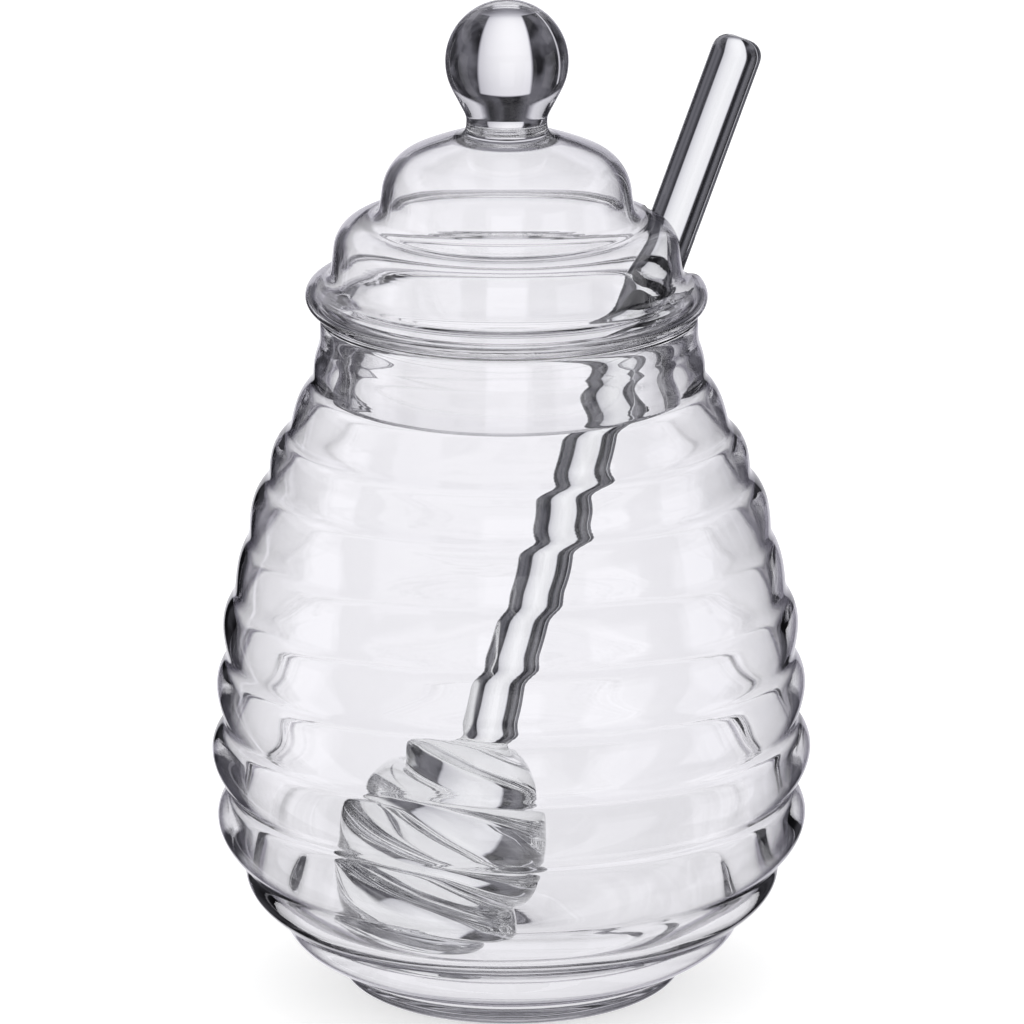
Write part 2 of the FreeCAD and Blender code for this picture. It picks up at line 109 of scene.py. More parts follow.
# lid, in millimetres above the seat on the rim
SEAT_HEIGHT = JAR_HEIGHT + 0.8
LID_WALL = 1.8
DOME_WALL = 1.3
SKIRT_RADIUS = 26.2
SKIRT_DEPTH = 13.6
SKIRT_ROUNDING = 0.6
FLANGE_RADIUS = 31.4
FLANGE_THICKNESS = 4.6
LOWER_FILLET = 1.7
LOWER_TIER = 27.0
LOWER_TIER_END = 9.5
LOWER_SHOULDER = 5.0
UPPER_FILLET = 2.2
UPPER_TIER = 19.5
SPRING = 18.4
CROWN_RADIUS = 14.5
CROWN_START = 25.5
CROWN_TOP = 27.8
CROWN_BULGE = 0.12
DOME_BULGE = 1.35
# across the wall where the dome meets the knob, and where its crown starts
ROOT_NORMAL = 0.34, 0.94
CROWN_NORMAL = 0.465, 0.885
KNOB_NECK = 6.3
KNOB_ROOT = KNOB_NECK + 1.8
KNOB_ROOT_RISE = 1.6
KNOB_ROOT_BULGE = -0.5
KNOB_NECK_TOP = 31.0
KNOB_HEIGHT = 39.68
KNOB_RADIUS = 9.6
# the loose lid sits a little to one side and aslant
LID_SHIFT = -0.4
LID_SLANT = math.radians(0.4)

# dipper, in millimetres from its lower end
DIPPER_LENGTH = 154.0
ROD_RADIUS = 4.0
ROD_END_ROUNDING = 2.6
HEAD_END_RADIUS = 9.0
HEAD_LENGTH = 37.2
HEAD_TOP_BULGE = -0.5
# grooves between the rings: height, radius, bulge of the ring below
HEAD_GROOVES = [
    (5.6, 10.8, 2.3),
    (13.2, 13.2, 3.1),
    (20.8, 13.0, 3.5),
    (28.4, 9.8, 3.4),
    (34.4, 5.9, 2.9),
]
LEAN_DIRECTION = math.radians(29.0)
LEAN_TILT = math.radians(23.57)
LEAN_OFFSET = 4.3
DIPPER_FOOT_REACH = 21.3
DIPPER_SHIFT = 0.7
TOP_REACH = ROD_RADIUS - ROD_END_ROUNDING  # the flat on the rod's rounded end
NOTCH_RADIUS = ROD_RADIUS + 1.4
NOTCH_FACETS = 96
NOTCH_MARGIN = 1.0  # how far the slot goes past the skirt's lower edge
NOTCH_RISE = 1.2  # and past the top of the flange

# looks of the glass
GLASS_INDEX = 1.47
# painted shade on jar and lid: their colour darkens where the wall is seen edge on
PAINTED_EDGE_SHADE_FACING = 0.66, 0.8  # how far from square on the darker line starts and is full
PAINTED_EDGE_SHADE_TONE = 0.2, 0.19, 0.23
STREAK_SCALE = 90.0, 90.0, 500.0  # close together along the dipper
STREAK_DEPTH = 0.00004
STREAK_TIP = 0.003, 0.007  # metres from the lower end over which they set in
STREAK_END = 0.9, 1.05  # shares of the head's length over which they fade out


def arc(start, end, bulge, step=ARC_STEP):
    """Points from start to end along an arc; a bulge above zero stands to the right."""
    a, b = Vector(start), Vector(end)
    chord = b - a
    half = chord.length / 2
    radius = (half * half + bulge * bulge) / (2 * abs(bulge))
    right = Vector((chord.y, -chord.x)).normalized()
    side = 1 if bulge > 0 else -1
    centre = (a + b) / 2 + right * (bulge - side * radius)
    first = a - centre
    sweep = 2 * math.asin(min(1.0, half / radius))
    if abs(bulge) > half:
        sweep = 2 * math.pi - sweep
    count = max(2, math.ceil(radius * sweep / step))
    return [centre + turned(first, side * sweep * k / count) for k in range(count + 1)]


def turned(vector, angle):
    c, s = math.cos(angle), math.sin(angle)
    return Vector((vector.x * c - vector.y * s, vector.x * s + vector.y * c))


def line(start, end, step=ARC_STEP * 2):
    a, b = Vector(start), Vector(end)
    count = max(1, math.ceil((b - a).length / step))
    return [a.lerp(b, k / count) for k in range(count + 1)]


def ridge(start, end, bulge, lean):
    """Like an arc, but fullest a little nearer its upper end."""
    a, b = Vector(start), Vector(end)
    chord = b - a
    half = chord.length / 2
    radius = (half * half + bulge * bulge) / (2 * abs(bulge))
    right = Vector((chord.y, -chord.x)).normalized()
    side = 1 if bulge > 0 else -1
    upward = 1 if chord.y > 0 else -1
    count = math.ceil(chord.length * 1.3 / ARC_STEP)
    points = []
    for k in range(count + 1):
        t = k / count
        along = (2 * (t - upward * lean * math.sin(math.pi * t)) - 1) * half
        reach = math.sqrt(radius * radius - along * along) - radius + abs(bulge)
        points.append(a.lerp(b, t) + right * (side * reach))
    return points


def outline(corners, bulges, lean=0.0):
    """Points through the corners, with an arc wherever a bulge is given."""
    points = []
    for start, end, bulge in zip(corners, corners[1:], bulges):
        if abs(bulge) > LEAST_RIDGE and lean:
            piece = ridge(start, end, bulge, lean)
        else:
            piece = arc(start, end, bulge) if bulge else line(start, end)
        points += piece if not points else piece[1:]
    return points


def soften(points, reach):
    """Round the creases of an outline by averaging each point over its surroundings."""
    lengths = [0.0]
    for a, b in zip(points, points[1:]):
        lengths.append(lengths[-1] + (b - a).length)
    total = lengths[-1]
    count = round(total / SOFT_STEP)
    even, k = [], 0
    for n in range(count + 1):
        s = total * n / count
        while k < len(points) - 2 and lengths[k + 1] < s:
            k += 1
        span = lengths[k + 1] - lengths[k]
        even.append(points[k].lerp(points[k + 1], (s - lengths[k]) / span))
    width = max(1, round(reach / (total / count)))
    result = [even[0]]
    for n in range(1, len(even) - 1):
        near = min(width, n, len(even) - 1 - n)
        weights = [near + 1 - abs(j) for j in range(-near, near + 1)]
        blend = Vector((0, 0))
        for j, weight in zip(range(-near, near + 1), weights):
            blend += even[n + j] * weight
        result.append(blend / sum(weights))
    result.append(even[-1])
    return result


def turn(name, points, waviness=None):
    """A closed surface of revolution; the outline starts and ends on the axis."""
    rings = points[1:-1]
    highest = max(range(len(rings)), key=lambda n: rings[n].y)
    vertices = [(0, 0, points[0].y * MM)]
    for n, (radius, height) in enumerate(rings):
        for k in range(TURNS):
            angle = 2 * math.pi * k / TURNS
            r = waviness(radius, height, angle, n > highest) if waviness else radius
            x, y = r * MM * math.cos(angle), r * MM * math.sin(angle)
            vertices.append((x, y, height * MM))
    vertices.append((0, 0, points[-1].y * MM))
    last = len(vertices) - 1
    faces = []
    for k in range(TURNS):
        k2 = (k + 1) % TURNS
        faces.append((0, 1 + k2, 1 + k))
        for n in range(len(rings) - 1):
            low, high = 1 + n * TURNS, 1 + (n + 1) * TURNS
            faces.append((low + k, low + k2, high + k2, high + k))
        top = 1 + (len(rings) - 1) * TURNS
        faces.append((top + k, top + k2, last))
    mesh = bpy.data.meshes.new(name)
    mesh.from_pydata(vertices, [], faces)
    mesh.validate()
    mesh.shade_smooth()
    piece = bpy.data.objects.new(name, mesh)
    bpy.context.collection.objects.link(piece)
    return piece


def jar_outline():
    """Foot, ridges and neck outside, then a smooth wall inside down to the floor."""
    corners = [
        (0, RECESS_HEIGHT),
        (RECESS_RADIUS, RECESS_HEIGHT),
        (FOOT_RING_RADIUS - FOOT_RING_WIDTH, 0),
        (FOOT_RING_RADIUS, 0),
        (FOOT_RADIUS, FOOT_GROOVE_HEIGHT),
    ]
    bulges = [0, RECESS_BULGE, 0, FOOT_BULGE]
    for start, grooves in ((FOOT_RADIUS, GROOVES_BELOW), (NECK_RADIUS, GROOVES_ABOVE)):
        for height, out, bulge in reversed(grooves):
            corners.append((start + (BELLY_RADIUS - start) * out, height * JAR_HEIGHT))
            bulges.append(bulge)
    rim = SEAT_HEIGHT - SEAT_GAP
    corners += [
        (NECK_RADIUS, NECK_HEIGHT),
        (NECK_RADIUS, rim - RIM_ROUNDING),
        (NECK_RADIUS - RIM_ROUNDING, rim),
    ]
    bulges += [SHOULDER_BULGE, 0, RIM_ROUNDING * QUARTER]

    bore = NECK_RADIUS - WALL
    low_radius, low_height = corners[5]
    inside = [
        (bore + RIM_ROUNDING, rim),
        (bore, rim - RIM_ROUNDING),
        (bore, NECK_HEIGHT),
    ]
    inner_bulges = [0, RIM_ROUNDING * QUARTER, 0, 0]
    for (radius, height), bulge in zip(corners[-4:5:-1], bulges[-4:4:-1]):
        inside.append((radius - RIDGE_WALL, height))
        inner_bulges.append(-bulge * INNER_RIDGE_SHARE)
    inside += [
        (low_radius - FLOOR_CORNER_IN, low_height + FLOOR_CORNER_UP),
        (FLOOR_RADIUS, FLOOR_THICKNESS),
        (0, FLOOR_THICKNESS),
    ]
    inner_bulges += [-FLOOR_CORNER_BULGE, 0]
    outer = outline(corners + inside[:3], bulges + inner_bulges[:3], RIDGE_LEAN)
    inner = outline(inside[2:], inner_bulges[3:], RIDGE_LEAN)
    return soften(outer, JAR_SOFTNESS) + soften(inner, JAR_SOFTNESS)[1:]


def lid_outline():
    """The hollow from its top down, the skirt's edge, then flange, tiers, dome and knob."""
    wall, thin, edge = LID_WALL, DOME_WALL, SKIRT_ROUNDING
    elbow = math.hypot(wall, thin) / math.sqrt(2) * QUARTER
    bead = FLANGE_THICKNESS / 2
    bead_radius = FLANGE_RADIUS - bead
    lower_foot = bead_radius - LOWER_FILLET
    lower_start = FLANGE_THICKNESS + LOWER_FILLET
    step = LOWER_TIER - LOWER_SHOULDER
    step_height = LOWER_TIER_END + LOWER_SHOULDER
    upper_foot = step - UPPER_FILLET
    upper_start = step_height + UPPER_FILLET
    dome_run = (UPPER_TIER - CROWN_RADIUS) ** 2 + (CROWN_START - SPRING) ** 2
    dome_arc = dome_run / (8 * DOME_BULGE) + DOME_BULGE / 2
    crown_radius = CROWN_RADIUS - thin * CROWN_NORMAL[0]
    crown_start = CROWN_START - thin * CROWN_NORMAL[1]
    taper_radius, taper_height, knob_bulge = knob_taper()
    path = [
        (0, CROWN_TOP - thin),
        (KNOB_ROOT - thin * ROOT_NORMAL[0], CROWN_TOP - thin * ROOT_NORMAL[1], 0),
        (crown_radius, crown_start, -CROWN_BULGE),
        (UPPER_TIER - thin, SPRING, -DOME_BULGE * (1 - thin / dome_arc)),
        (upper_foot - thin, upper_start, 0),
        (step, step_height - thin, (UPPER_FILLET + thin) * QUARTER),
        (LOWER_TIER - thin, LOWER_TIER_END, (thin - LOWER_SHOULDER) * QUARTER),
        (lower_foot - thin, lower_start, 0),
        (bead_radius, FLANGE_THICKNESS - thin, (LOWER_FILLET + thin) * QUARTER),
        (FLANGE_RADIUS - thin, bead, (thin - bead) * QUARTER),
        (bead_radius, thin, (thin - bead) * QUARTER),
        (SKIRT_RADIUS, thin, 0),
        (SKIRT_RADIUS - wall, 0, elbow),
        (SKIRT_RADIUS - wall, edge - SKIRT_DEPTH, 0),
        (SKIRT_RADIUS - wall + edge, -SKIRT_DEPTH, edge * QUARTER),
        (SKIRT_RADIUS - edge, -SKIRT_DEPTH, 0),
        (SKIRT_RADIUS, edge - SKIRT_DEPTH, edge * QUARTER),
        (SKIRT_RADIUS, 0, 0),
        (bead_radius, 0, 0),
        (FLANGE_RADIUS, bead, bead * QUARTER),
        (bead_radius, FLANGE_THICKNESS, bead * QUARTER),
        (lower_foot, lower_start, -LOWER_FILLET * QUARTER),
        (LOWER_TIER, LOWER_TIER_END, 0),
        (step, step_height, LOWER_SHOULDER * QUARTER),
        (upper_foot, upper_start, -UPPER_FILLET * QUARTER),
        (UPPER_TIER, SPRING, 0),
        (CROWN_RADIUS, CROWN_START, DOME_BULGE),
        (KNOB_ROOT, CROWN_TOP, CROWN_BULGE),
        (KNOB_NECK, CROWN_TOP + KNOB_ROOT_RISE, KNOB_ROOT_BULGE),
        (KNOB_NECK, KNOB_NECK_TOP, 0),
        (taper_radius, KNOB_HEIGHT + taper_height, 0),
        (0, KNOB_HEIGHT + KNOB_RADIUS, knob_bulge),
    ]
    points = outline([corner[:2] for corner in path], [corner[2] for corner in path[1:]])
    return [Vector((p.x, p.y + SEAT_HEIGHT)) for p in soften(points, LID_SOFTNESS)]


def knob_taper():
    """Where the neck's taper touches the ball, from its middle, and the ball's bulge."""
    drop = KNOB_HEIGHT - KNOB_NECK_TOP
    square = KNOB_NECK**2 + drop**2
    length = math.sqrt(square - KNOB_RADIUS**2)
    radius = KNOB_RADIUS * (KNOB_RADIUS * KNOB_NECK + length * drop) / square
    height = KNOB_RADIUS * (length * KNOB_NECK - KNOB_RADIUS * drop) / square
    half_square = (radius**2 + (KNOB_RADIUS - height) ** 2) / 4
    return radius, height, KNOB_RADIUS - math.sqrt(KNOB_RADIUS**2 - half_square)


def dipper_outline():
    """From the flat lower end up over the rings to the rod's rounded top."""
    corners = [(0, 0), (HEAD_END_RADIUS, 0)]
    bulges = [0]
    for height, radius, bulge in HEAD_GROOVES:
        corners.append((radius, height))
        bulges.append(bulge)
    corners += [
        (ROD_RADIUS, HEAD_LENGTH),
        (ROD_RADIUS, DIPPER_LENGTH - ROD_END_ROUNDING),
        (TOP_REACH, DIPPER_LENGTH),
        (0, DIPPER_LENGTH),
    ]
    bulges += [HEAD_TOP_BULGE, 0, ROD_END_ROUNDING * QUARTER, 0]
    return soften(outline(corners, bulges), DIPPER_SOFTNESS)


def jar_waviness(radius, height, angle, inside):
    """The radius with the wall's unevenness, which fades out near the rim and the axis."""
    place = Vector((radius * math.cos(angle), radius * math.sin(angle), height))
    wave = noise.noise(place / WAVE_LENGTH)
    swell = wave * INNER_SWELL if inside else -abs(wave) * OUTER_DIP
    for room in (JAR_HEIGHT - height, radius):
        swell *= min(1.0, max(0.0, (room - WAVE_MARGIN) / WAVE_FADE))
    return radius + swell


def lid_placement():
    """The lid's slight slant and shift on the rim."""
    pivot = Vector((0, 0, SEAT_HEIGHT * MM))
    slant = Matrix.Rotation(LID_SLANT, 4, "Y")
    shift = Matrix.Translation((LID_SHIFT * MM, 0, 0))
    return shift @ Matrix.Translation(pivot) @ slant @ Matrix.Translation(-pivot)


def dipper_placement():
    """The dipper's own axis in the jar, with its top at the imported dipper's top."""
    lean = Vector((math.cos(LEAN_DIRECTION), math.sin(LEAN_DIRECTION), 0))
    side = Vector((-math.sin(LEAN_DIRECTION), math.cos(LEAN_DIRECTION), 0))
    foot = (lean * -DIPPER_FOOT_REACH - side * LEAN_OFFSET) * MM
    turn_down = Matrix.Rotation(LEAN_DIRECTION, 4, "Z") @ Matrix.Rotation(LEAN_TILT, 4, "Y")
    top = foot + (turn_down @ Vector((0, 0, DIPPER_LENGTH * MM)))
    foot.x -= DIPPER_SHIFT * MM
    foot.z += BOX["dipper"][1].z - top.z - TOP_REACH * MM * math.sin(LEAN_TILT)
    return Matrix.Translation(foot) @ turn_down


def glass(name, tint, wave_size, wave_depth):
    """Clear glass with the slow surface waves of hand-formed glass, in metres."""
    material = bpy.data.materials.new(name)
    material.use_nodes = True
    nodes, links = material.node_tree.nodes, material.node_tree.links
    shader = nodes["Principled BSDF"]
    shader.inputs["Base Color"].default_value = (*tint, 1)
    shader.inputs["Roughness"].default_value = 0.0
    shader.inputs["IOR"].default_value = GLASS_INDEX
    shader.inputs["Transmission Weight"].default_value = 1.0
    place = nodes.new("ShaderNodeTexCoord")
    wave = nodes.new("ShaderNodeTexNoise")
    wave.inputs["Scale"].default_value = 1 / wave_size
    wave.inputs["Detail"].default_value = 1.0
    wave.inputs["Roughness"].default_value = 0.4
    bump = nodes.new("ShaderNodeBump")
    bump.inputs["Strength"].default_value = 1.0
    bump.inputs["Distance"].default_value = wave_depth
    links.new(place.outputs["Object"], wave.inputs["Vector"])
    links.new(wave.outputs["Fac"], bump.inputs["Height"])
    links.new(bump.outputs["Normal"], shader.inputs["Normal"])
    return material


def paint_edge_shade(material):
    """Painted shade: the colour darkens where the wall is seen edge on, standing in for the
    darker line that glass shows at its edges.
    """
    nodes, links = material.node_tree.nodes, material.node_tree.links
    grazing = nodes.new("ShaderNodeLayerWeight")
    grazing.inputs["Blend"].default_value = 0.5
    share = ramp(nodes, links, grazing.outputs["Facing"], *PAINTED_EDGE_SHADE_FACING)
    # the painted shade's colour, mixed in by how edge on the wall is seen
    edge_shade_colour = nodes.new("ShaderNodeMix")
    edge_shade_colour.data_type = "RGBA"
    edge_shade_colour.inputs["A"].default_value = (1, 1, 1, 1)
    edge_shade_colour.inputs["B"].default_value = (*PAINTED_EDGE_SHADE_TONE, 1)
    links.new(share, edge_shade_colour.inputs["Factor"])
    links.new(edge_shade_colour.outputs["Result"], nodes["Principled BSDF"].inputs["Base Color"])


def streak(material, placement):
    """Fine drawn streaks that run round the dipper's head and fade out on the rod."""
    nodes, links = material.node_tree.nodes, material.node_tree.links
    place = nodes["Texture Coordinate"]
    local = nodes.new("ShaderNodeMapping")
    local.vector_type = "TEXTURE"
    local.inputs["Location"].default_value = placement.to_translation()
    local.inputs["Rotation"].default_value = placement.to_euler()
    links.new(place.outputs["Object"], local.inputs["Vector"])
    squeeze = nodes.new("ShaderNodeVectorMath")
    squeeze.operation = "MULTIPLY"
    squeeze.inputs[1].default_value = STREAK_SCALE
    links.new(local.outputs[0], squeeze.inputs[0])
    lines = nodes.new("ShaderNodeTexNoise")
    lines.inputs["Scale"].default_value = 1.0
    lines.inputs["Detail"].default_value = 1.0
    links.new(squeeze.outputs[0], lines.inputs["Vector"])
    split = nodes.new("ShaderNodeSeparateXYZ")
    links.new(local.outputs[0], split.inputs[0])
    full, gone = (share * HEAD_LENGTH * MM for share in STREAK_END)
    head = ramp(nodes, links, split.outputs[2], gone, full)
    tip = ramp(nodes, links, split.outputs[2], *STREAK_TIP)
    head = math_node(nodes, links, "MULTIPLY", head, tip)
    depth = math_node(nodes, links, "MULTIPLY", lines.outputs["Fac"], head)
    marks = nodes.new("ShaderNodeBump")
    marks.inputs["Distance"].default_value = STREAK_DEPTH
    links.new(depth, marks.inputs["Height"])
    links.new(nodes["Bump"].outputs[0], marks.inputs["Normal"])
    links.new(marks.outputs[0], nodes["Principled BSDF"].inputs["Normal"])


def make_glass():
    """The three glass pieces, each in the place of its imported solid."""
    jar = turn("jar_glass", jar_outline(), jar_waviness)
    lid = turn("lid_glass", lid_outline())
    lid.data.transform(lid_placement())
    dipper = turn("dipper_glass", dipper_outline())
    placement = dipper_placement()
    dipper.data.transform(placement)
    cut_notch(lid, placement)
    finishes = {
        "jar": (jar, glass("jar_clear", (1, 1, 1), 0.011, 0.00006)),
        "lid": (lid, glass("lid_clear", (1, 1, 1), 0.009, 0.00005)),
        "dipper": (dipper, glass("dipper_clear", (0.985, 0.995, 0.985), 0.010, 0.00002)),
    }
    # painted shade along the edges of jar and lid
    paint_edge_shade(finishes["jar"][1])
    paint_edge_shade(finishes["lid"][1])
    streak(finishes["dipper"][1], placement)
    for node, (piece, material) in finishes.items():
        piece.data.materials.clear()
        piece.data.materials.append(material)
        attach(piece, "root")
        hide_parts(node)


def cut_notch(lid, placement):
    """Cut the rod's bore, and the slot under it, out of the lid's edge."""
    bpy.ops.mesh.primitive_cylinder_add(
        vertices=NOTCH_FACETS, radius=NOTCH_RADIUS * MM, depth=0.3
    )
    bore = bpy.context.object
    bore.data.transform(placement @ Matrix.Translation((0, 0, 0.1)))
    bpy.ops.mesh.primitive_cube_add(size=1)
    slot = bpy.context.object
    start, end = NECK_RADIUS / 2, FLANGE_RADIUS + 4
    low, high = -SKIRT_DEPTH - NOTCH_MARGIN, FLANGE_THICKNESS + NOTCH_RISE
    lengths = Vector((end - start, 2 * NOTCH_RADIUS, high - low)) * MM
    size = Matrix.Diagonal((*lengths, 1))
    middle = Vector(((start + end) / 2, -LEAN_OFFSET, SEAT_HEIGHT + (low + high) / 2)) * MM
    spin = Matrix.Rotation(LEAN_DIRECTION, 4, "Z")
    slot.data.transform(spin @ Matrix.Translation(middle) @ size)
    for cutter in (bore, slot):
        cut = lid.modifiers.new("cut", "BOOLEAN")
        cut.operation = "DIFFERENCE"
        cut.solver = "MANIFOLD"
        cut.object = cutter
        bpy.context.view_layer.objects.active = lid
        bpy.ops.object.modifier_apply(modifier=cut.name)
        bpy.data.objects.remove(cutter)
    lid.data.set_sharp_from_angle(angle=math.radians(40))


# floor: its own grey, the glow that makes it white to the camera, and a painted patch of
# light on the table under the pot, which only rays through the glass see
FLOOR_SIZE = 6.0
FLOOR_GREY = 0.86
FLOOR_GLOW = 0.6
PAINTED_POOL_RADIUS = 0.075
PAINTED_POOL_EDGE = 0.9, 1.3  # shares of its radius over which it fades out
PAINTED_POOL_LEVEL = 0.9

# The studio as the glass sees it. Angles are in degrees: azimuths from +Y towards +X,
# heights above level. Behind the pot stands a bright screen, brightest near its middle,
# and the bright table under it opens out to all sides further down.
SCREEN_CENTRE = 1.5
SCREEN_REACH = 17.5
SCREEN_EDGE = 1.5
SCREEN_TOP = 10.0
BRIGHTEST_AZIMUTH = -4.0
AZIMUTH_FALL = 0.0007  # for each square degree
FALL_END = 25.0
TABLE_START = -48.0
TABLE_SPREAD = 5.0  # degrees to each side for each degree down
# level of the screen and the table by height
LEVELS = [
    (-90.0, 0.12),
    (-60.0, 0.2),
    (-48.0, 0.6),
    (-38.0, 1.0),
    (-16.0, 1.0),
    (10.0, 0.85),
]
# a second pale field higher up behind
UPPER_LOW, UPPER_HIGH = 20.0, 36.0
UPPER_REACH = 85.0
UPPER_LEVEL = 0.75
OVERHEAD_START = 50.0
OVERHEAD_LEVEL = 0.3
# other fields up to the screen's height: centre, reach to both sides, lowest height, level
SIDE_LIGHTS = [
    (-46.0, 1.5, -95.0, 0.7),
    (-90.0, 12.0, -95.0, 0.8),
    (135.0, 12.0, -95.0, 0.8),
    (90.0, 14.0, -36.0, 0.8),
    (180.0, 14.0, -36.0, 0.8),
    (-180.0, 14.0, -36.0, 0.8),
]
# patchy gloom everywhere else
DARK_LOW, DARK_HIGH = 0.015, 0.16
PATCH_SCALE = 3.0
PATCH_LOW, PATCH_HIGH = 0.35, 0.7
LIGHT_TINT = (0.965, 0.957, 1.0)
DARK_TINT = (0.86, 0.84, 1.0)

LENS = 350.5
EYE = Vector((0, -1.5, 0.5101))
AIM = Vector((0.0003, 0, 0.0769))
ROLL = math.radians(-0.3)


def math_node(nodes, links, operation, first, second=None):
    """The output of a Math node; each operand is a number or a socket."""
    node = nodes.new("ShaderNodeMath")
    node.operation = operation
    for index, value in enumerate((first, second)):
        if value is None:
            continue
        if isinstance(value, (int, float)):
            node.inputs[index].default_value = value
        else:
            links.new(value, node.inputs[index])
    return node.outputs[0]


def ramp(nodes, links, value, low, high):
    """0 below low, 1 above high, smooth between."""
    node = nodes.new("ShaderNodeMapRange")
    node.interpolation_type = "SMOOTHSTEP"
    node.inputs["From Min"].default_value = low
    node.inputs["From Max"].default_value = high
    links.new(value, node.inputs["Value"])
    return node.outputs["Result"]


def between(nodes, links, value, low, high, edge):
    """1 from low to high, with soft edges, and 0 outside."""
    rise = ramp(nodes, links, value, low - edge, low + edge)
    fall = ramp(nodes, links, value, high + edge, high - edge)
    return math_node(nodes, links, "MULTIPLY", rise, fall)


def mix_shaders(nodes, links, share, first, second):
    """The first shader where share is 0, the second where it is 1."""
    mix = nodes.new("ShaderNodeMixShader")
    for source, socket in zip((share, first, second), mix.inputs):
        links.new(source, socket)
    return mix.outputs[0]


def make_floor():
    """A pale floor that takes the pot's shadow and is white to the camera."""
    bpy.ops.mesh.primitive_plane_add(size=FLOOR_SIZE)
    floor = bpy.context.object
    floor.name = "floor"
    floor.visible_glossy = False
    material = bpy.data.materials.new("pale_floor")
    material.use_nodes = True
    floor.data.materials.append(material)
    nodes, links = material.node_tree.nodes, material.node_tree.links
    surface = nodes["Principled BSDF"]
    surface.inputs["Base Color"].default_value = (FLOOR_GREY, FLOOR_GREY, FLOOR_GREY, 1)
    surface.inputs["Roughness"].default_value = 0.9
    surface.inputs["Specular IOR Level"].default_value = 0.0
    surface.inputs["Emission Color"].default_value = (1, 1, 1, 1)
    path = nodes.new("ShaderNodeLightPath")
    lift = math_node(nodes, links, "MULTIPLY", path.outputs["Is Camera Ray"], FLOOR_GLOW)
    links.new(lift, surface.inputs["Emission Strength"])

    # painted light: a glowing patch round the pot, seen only through the glass; outside it
    # the floor lets those rays through to the studio
    place = nodes.new("ShaderNodeTexCoord")
    away = nodes.new("ShaderNodeVectorMath")
    away.operation = "LENGTH"
    links.new(place.outputs["Object"], away.inputs[0])
    full, gone = (share * PAINTED_POOL_RADIUS for share in PAINTED_POOL_EDGE)
    painted_pool_share = ramp(nodes, links, away.outputs["Value"], gone, full)
    clear = nodes.new("ShaderNodeBsdfTransparent")
    glow = nodes.new("ShaderNodeEmission")
    glow.inputs["Color"].default_value = (*LIGHT_TINT, 1)
    glow.inputs["Strength"].default_value = PAINTED_POOL_LEVEL
    near = mix_shaders(nodes, links, painted_pool_share, clear.outputs[0], glow.outputs[0])
    through = path.outputs["Is Transmission Ray"]
    kind = mix_shaders(nodes, links, through, surface.outputs[0], near)
    links.new(kind, nodes["Material Output"].inputs[0])


def studio_level(nodes, links, direction):
    """How bright the studio is in each direction."""
    calc = partial(math_node, nodes, links)
    split = nodes.new("ShaderNodeSeparateXYZ")
    links.new(direction, split.inputs[0])
    x, y, z = split.outputs
    azimuth = calc("MULTIPLY", calc("ARCTAN2", x, y), 180 / math.pi)
    height = calc("MULTIPLY", calc("ARCSINE", z), 180 / math.pi)

    down = calc("MAXIMUM", calc("SUBTRACT", TABLE_START, height), 0.0)
    spread = calc("MULTIPLY", down, TABLE_SPREAD)
    off = calc("ABSOLUTE", calc("SUBTRACT", azimuth, SCREEN_CENTRE))
    off = calc("SUBTRACT", off, spread)
    screen = ramp(nodes, links, off, SCREEN_REACH + SCREEN_EDGE, SCREEN_REACH - SCREEN_EDGE)
    below_top = ramp(nodes, links, height, SCREEN_TOP + 1, SCREEN_TOP - 1)
    screen = calc("MULTIPLY", screen, below_top)
    aside = calc("SUBTRACT", azimuth, BRIGHTEST_AZIMUTH)
    aside = calc("MAXIMUM", calc("MINIMUM", aside, FALL_END), -FALL_END)
    aside = calc("MULTIPLY", calc("MULTIPLY", aside, aside), -AZIMUTH_FALL)
    aside = calc("ADD", aside, 1.0)
    by_height = nodes.new("ShaderNodeFloatCurve")
    curve = by_height.mapping.curves[0]
    curve.points[0].location = (0, LEVELS[0][1])
    for angle, value in LEVELS[1:]:
        curve.points.new((angle + 90) / 180, value)
    by_height.mapping.update()
    share = calc("DIVIDE", calc("ADD", height, 90.0), 180.0)
    links.new(share, by_height.inputs["Value"])
    level = calc("MULTIPLY", calc("MULTIPLY", screen, aside), by_height.outputs[0])

    for centre, reach, lowest, strength in SIDE_LIGHTS:
        light = between(nodes, links, azimuth, centre - reach, centre + reach, 1)
        light = calc("MULTIPLY", light, ramp(nodes, links, height, lowest - 2, lowest + 2))
        light = calc("MULTIPLY", calc("MULTIPLY", light, below_top), strength)
        level = calc("MAXIMUM", level, light)
    above = calc(
        "MULTIPLY",
        between(nodes, links, height, UPPER_LOW, UPPER_HIGH, 2),
        between(nodes, links, azimuth, -UPPER_REACH, UPPER_REACH, 3),
    )
    level = calc("MAXIMUM", level, calc("MULTIPLY", above, UPPER_LEVEL))
    overhead = ramp(nodes, links, height, OVERHEAD_START - 4, OVERHEAD_START + 4)
    level = calc("MAXIMUM", level, calc("MULTIPLY", overhead, OVERHEAD_LEVEL))

    patches = nodes.new("ShaderNodeTexNoise")
    patches.inputs["Scale"].default_value = PATCH_SCALE
    patches.inputs["Detail"].default_value = 2.0
    links.new(direction, patches.inputs["Vector"])
    gloom = ramp(nodes, links, patches.outputs["Fac"], PATCH_LOW, PATCH_HIGH)
    gloom = calc("ADD", calc("MULTIPLY", gloom, DARK_HIGH - DARK_LOW), DARK_LOW)
    return calc("MAXIMUM", level, gloom)


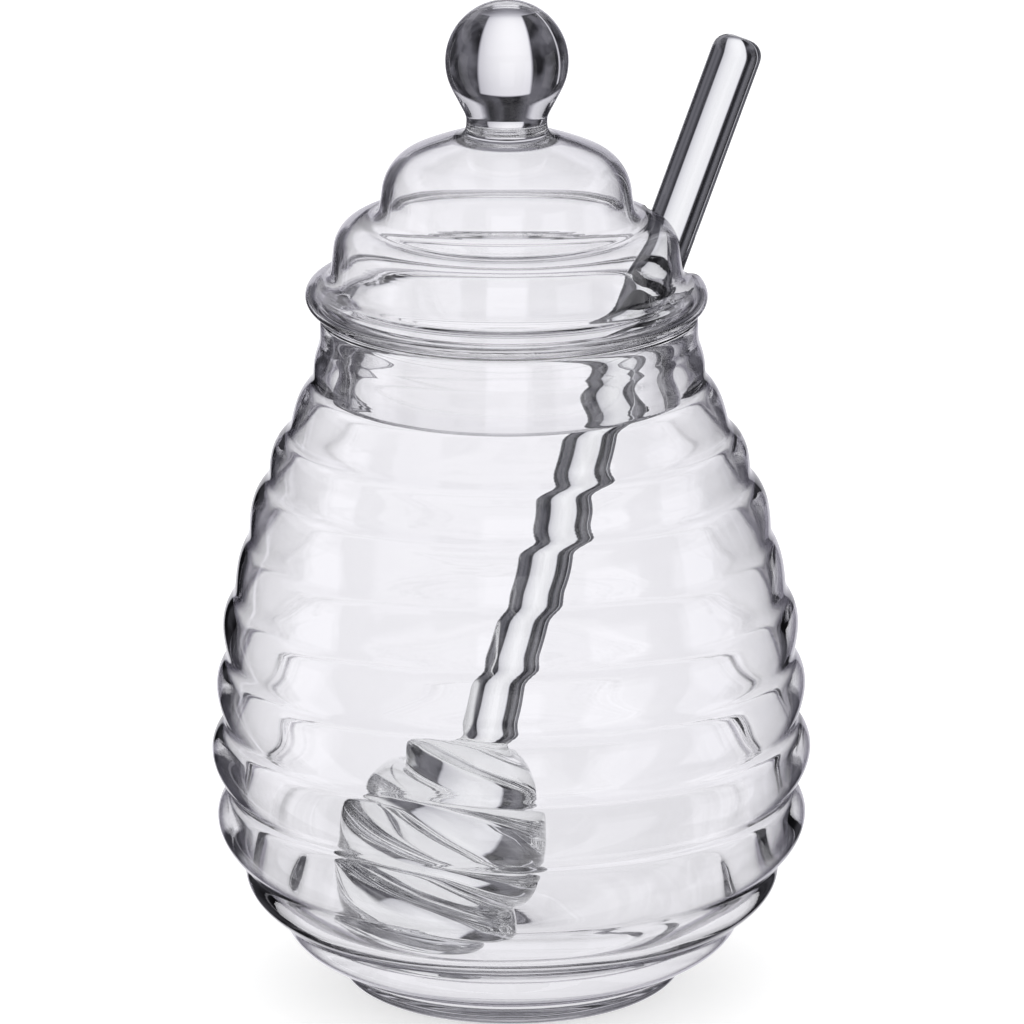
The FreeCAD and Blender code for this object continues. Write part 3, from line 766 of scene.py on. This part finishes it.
def make_world():
    """White for the camera, even light for the floor, and a studio of bright fields and
    dark flags for what the glass refracts and reflects."""
    world = bpy.data.worlds.new("studio")
    bpy.context.scene.world = world
    world.use_nodes = True
    nodes, links = world.node_tree.nodes, world.node_tree.links
    nodes.clear()
    place = nodes.new("ShaderNodeTexCoord")
    level = studio_level(nodes, links, place.outputs["Generated"])
    tint = nodes.new("ShaderNodeMix")
    tint.data_type = "RGBA"
    tint.inputs["A"].default_value = (*DARK_TINT, 1)
    tint.inputs["B"].default_value = (*LIGHT_TINT, 1)
    links.new(level, tint.inputs["Factor"])
    studio, even, sheet = (nodes.new("ShaderNodeBackground") for _ in range(3))
    links.new(tint.outputs["Result"], studio.inputs["Color"])
    links.new(level, studio.inputs["Strength"])
    even.inputs["Color"].default_value = (0.8, 0.8, 0.8, 1)
    even.inputs["Strength"].default_value = 1.0
    sheet.inputs["Color"].default_value = (1, 1, 1, 1)
    sheet.inputs["Strength"].default_value = 1.0
    path = nodes.new("ShaderNodeLightPath")
    through, mirrored = path.outputs["Is Transmission Ray"], path.outputs["Is Glossy Ray"]
    by_glass = math_node(nodes, links, "MAXIMUM", through, mirrored)
    light = mix_shaders(nodes, links, by_glass, even.outputs[0], studio.outputs[0])
    seen = path.outputs["Is Camera Ray"]
    shown = mix_shaders(nodes, links, seen, light, sheet.outputs[0])
    out = nodes.new("ShaderNodeOutputWorld")
    links.new(shown, out.inputs[0])


def make_camera():
    """A long lens about 16 degrees above the pot, looking along +Y."""
    data = bpy.data.cameras.new("camera")
    data.sensor_width = 36
    data.lens = LENS
    data.clip_start = 0.05
    data.clip_end = 50
    camera = bpy.data.objects.new("camera", data)
    bpy.context.collection.objects.link(camera)
    look = (AIM - EYE).to_track_quat("-Z", "Y").to_matrix().to_4x4()
    roll = Matrix.Rotation(ROLL, 4, "Z")
    camera.matrix_world = Matrix.Translation(EYE) @ look @ roll
    bpy.context.scene.camera = camera


make_glass()
make_floor()
make_world()
make_camera()
scene = bpy.context.scene
scene.view_settings.view_transform = "Standard"
scene.cycles.max_bounces = 24
scene.cycles.transmission_bounces = 24
scene.cycles.glossy_bounces = 12

bpy.context.view_layer.update()
